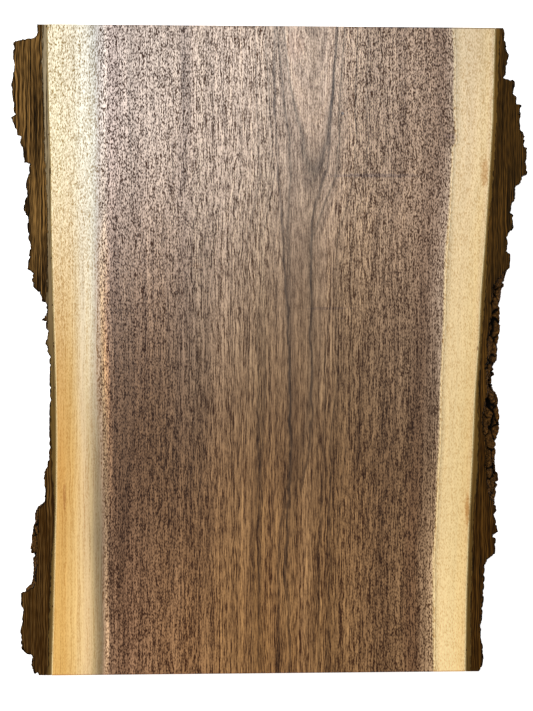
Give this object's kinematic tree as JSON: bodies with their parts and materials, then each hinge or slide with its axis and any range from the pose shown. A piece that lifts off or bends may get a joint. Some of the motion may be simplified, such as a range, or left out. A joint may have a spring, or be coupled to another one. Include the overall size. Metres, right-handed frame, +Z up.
{
  "type": "live-edge walnut slab",
  "caption": "Sanded flat-sawn walnut slab with pale sapwood and a strip of rough bark left on each long side, sawn off square at both ends.",
  "frame": {"origin": "middle of the slab's bounding box, on the surface that it lies on", "axes": "+X across the slab towards bark_right, +Y along the grain, +Z up through the thickness to the sanded top face"},
  "size_m": [0.3236, 0.4074, 0.032],
  "materials": {
    "wood": "sanded walnut, purple-brown heartwood between cream sapwood",
    "bark": "dark brown bark, sawn flat on top and furrowed outside"
  },
  "bodies": {
    "root": {"wood_slab": "wood", "bark_left": "bark", "bark_right": "bark"}
  },
  "joints": []
}
